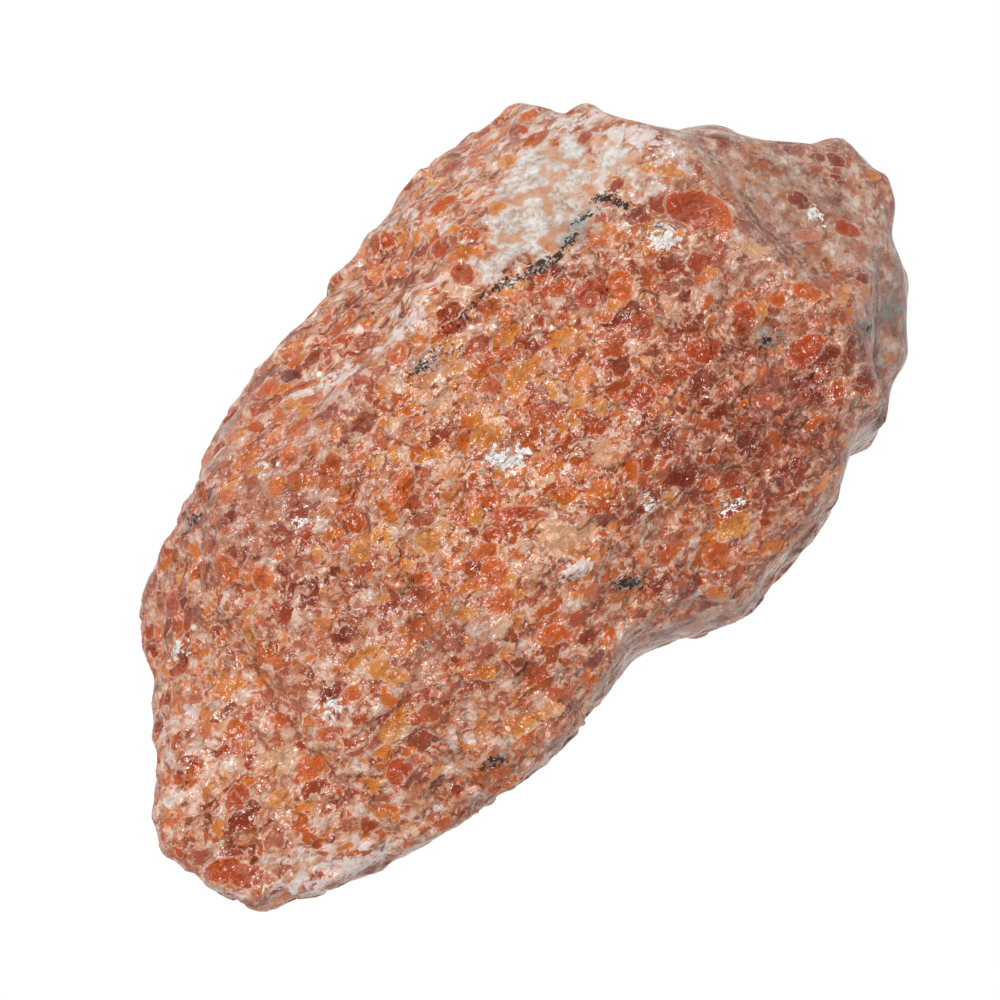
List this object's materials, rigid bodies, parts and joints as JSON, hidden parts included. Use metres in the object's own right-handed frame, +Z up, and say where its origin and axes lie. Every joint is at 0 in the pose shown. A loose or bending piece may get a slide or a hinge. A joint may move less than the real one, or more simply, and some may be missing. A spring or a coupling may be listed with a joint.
{
  "type": "rough sunstone chunk",
  "caption": "Rough broken chunk of orange feldspar rock, longer than wide, with one thick blunt end, a lower tapered end and a flat break that it lies on.",
  "frame": {"origin": "middle of the bounding box's bottom, on the surface that the stone lies on", "axes": "+X along the stone towards its thick blunt end, +Y across it towards the back slope, +Z up"},
  "size_m": [0.0918, 0.0508, 0.0305],
  "materials": {
    "feldspar_rock": "broken, glassy grains in a dull pinkish matrix"
  },
  "bodies": {
    "root": {"sunstone": "feldspar_rock"}
  },
  "joints": []
}
